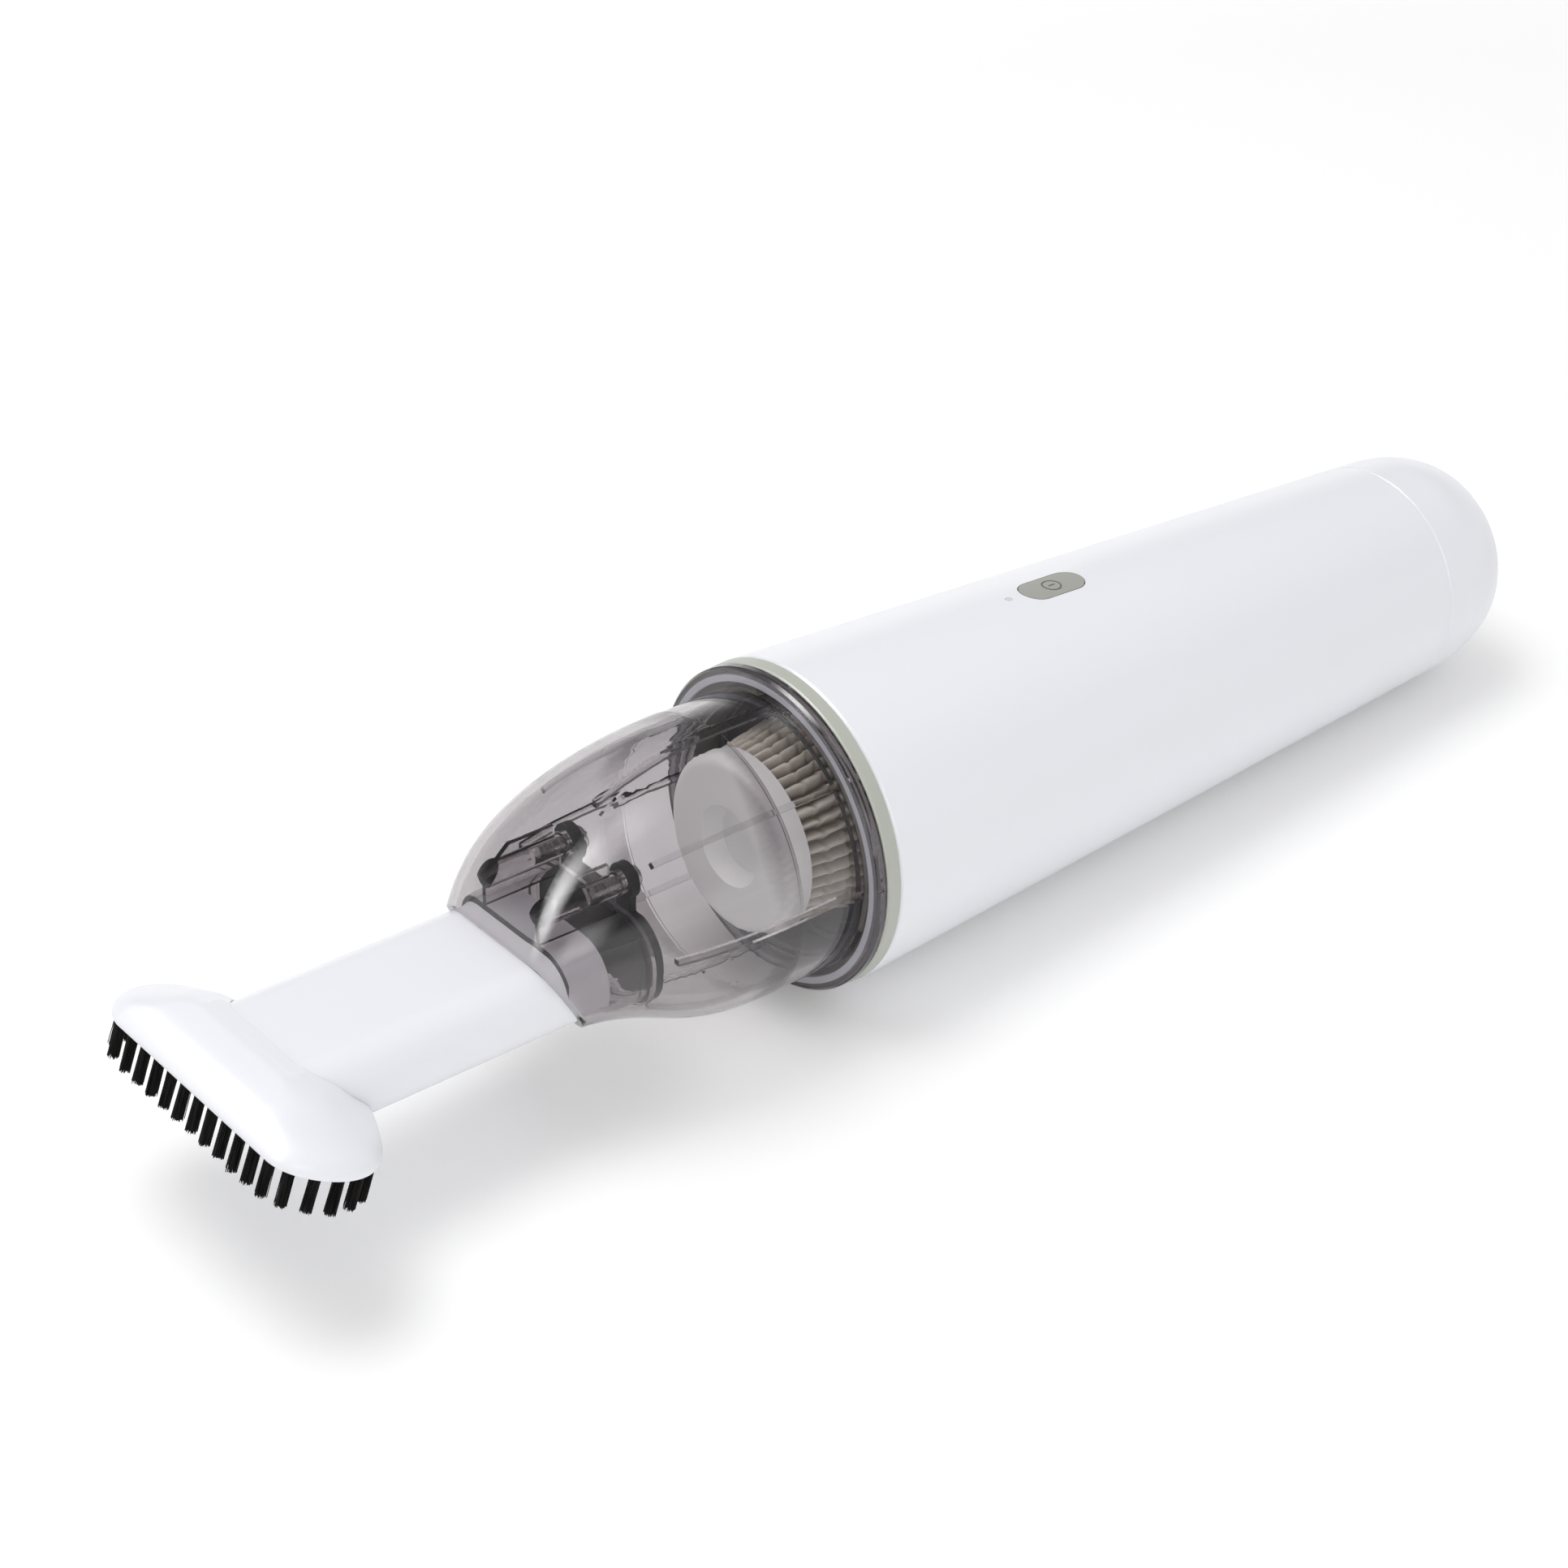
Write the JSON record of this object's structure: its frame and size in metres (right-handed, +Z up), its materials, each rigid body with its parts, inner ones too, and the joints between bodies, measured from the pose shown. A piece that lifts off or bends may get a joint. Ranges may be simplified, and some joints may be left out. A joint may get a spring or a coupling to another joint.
{
  "type": "handheld vacuum cleaner",
  "caption": "Cordless handheld vacuum cleaner with a tapered round body, a twist-off clear dust cup, a pull-out filter, a flat nozzle and an oval brush hood.",
  "frame": {"origin": "centre of the flat rear face", "axes": "+X along the body towards the nozzle, +Z up on the side of the power button, +Y completes the frame"},
  "size_m": [0.3653, 0.0756, 0.075],
  "materials": {
    "white_shell": "glossy moulded",
    "sage_trim": "satin moulded",
    "smoky_clear": "clear tinted, polished",
    "black_rubber": "soft, matt",
    "steel": "plated",
    "filter_paper": "pleated paper",
    "filter_plastic": "satin moulded",
    "dark_plastic": "fine matt",
    "black_bristle": "drawn filament",
    "clear_lens": "polished",
    "board_green": "solder mask",
    "cell_wrap": "shrink wrap",
    "copper_core": "laminated",
    "inner_plastic": "fine matt",
    "wheel_plastic": "satin moulded",
    "sealing_rubber": "soft, matt",
    "lamp_white": "clear cast"
  },
  "bodies": {
    "main_body": {"main_housing": "white_shell", "rear_cap": "white_shell", "cap_screws": "steel", "charging_socket": "steel", "charging_board": "board_green", "front_ring": "sage_trim", "light_pipe": "clear_lens", "indicator_light": "lamp_white", "circuit_board": "board_green", "board_screws": "steel", "switch_body": "dark_plastic", "battery_holder": "inner_plastic", "battery_cells": "cell_wrap", "battery_tabs": "steel", "fan_cover": "inner_plastic", "motor_housing": "inner_plastic", "diffuser": "inner_plastic", "motor_can": "steel", "motor_bearings": "steel", "motor_magnets": "dark_plastic", "motor_front_cushion": "black_rubber", "motor_rear_cushion": "black_rubber"},
    "button": {"power_button": "sage_trim"},
    "rotor": {"impeller": "wheel_plastic", "motor_shaft": "steel", "motor_rotor": "copper_core"},
    "cup_seat": {"cup_seal": "sealing_rubber"},
    "cup": {"dust_cup": "smoky_clear", "inlet_duct": "smoky_clear", "flap_hanger": "black_rubber", "flap_washers": "steel", "flap_screws": "steel"},
    "flap": {"flap_door": "black_rubber"},
    "filter": {"filter_seal": "sealing_rubber", "filter_base": "dark_plastic", "filter_pleats": "filter_paper", "filter_core": "filter_plastic", "filter_end_cap": "filter_plastic"},
    "nozzle": {"nozzle_tube": "white_shell"},
    "brush": {"brush_head": "white_shell", "bristles_front": "black_bristle", "bristles_left": "black_bristle", "bristles_right": "black_bristle"}
  },
  "joints": [
    {"name": "power_button_press", "type": "slide", "parent": "main_body", "child": "button", "axis": [0, 0, -1], "range_m": [0, 0.0008], "stiffness_N_per_m": 500, "springref_m": -0.001},
    {"name": "impeller_spin", "type": "hinge", "parent": "main_body", "child": "rotor", "pos_m": [0.18, 0, 0], "axis": [1, 0, 0], "continuous": true},
    {"name": "cup_twist", "type": "hinge", "parent": "main_body", "child": "cup_seat", "pos_m": [0.2164, 0, 0], "axis": [1, 0, 0], "range_deg": [0, 20]},
    {"name": "cup_pull", "type": "slide", "parent": "cup_seat", "child": "cup", "axis": [1, 0, 0], "range_m": [0, 0.04]},
    {"name": "flap_swing", "type": "hinge", "parent": "cup", "child": "flap", "pos_m": [0.2637, 0, 0.0036], "axis": [0, 1, 0], "range_deg": [0, 55], "stiffness_Nm_per_rad": 0.003},
    {"name": "filter_pull", "type": "slide", "parent": "main_body", "child": "filter", "axis": [1, 0, 0], "range_m": [0, 0.014]},
    {"name": "nozzle_pull", "type": "slide", "parent": "cup", "child": "nozzle", "axis": [1, 0, 0], "range_m": [0, 0.02]},
    {"name": "brush_pull", "type": "slide", "parent": "nozzle", "child": "brush", "axis": [1, 0, 0], "range_m": [0, 0.025]}
  ]
}
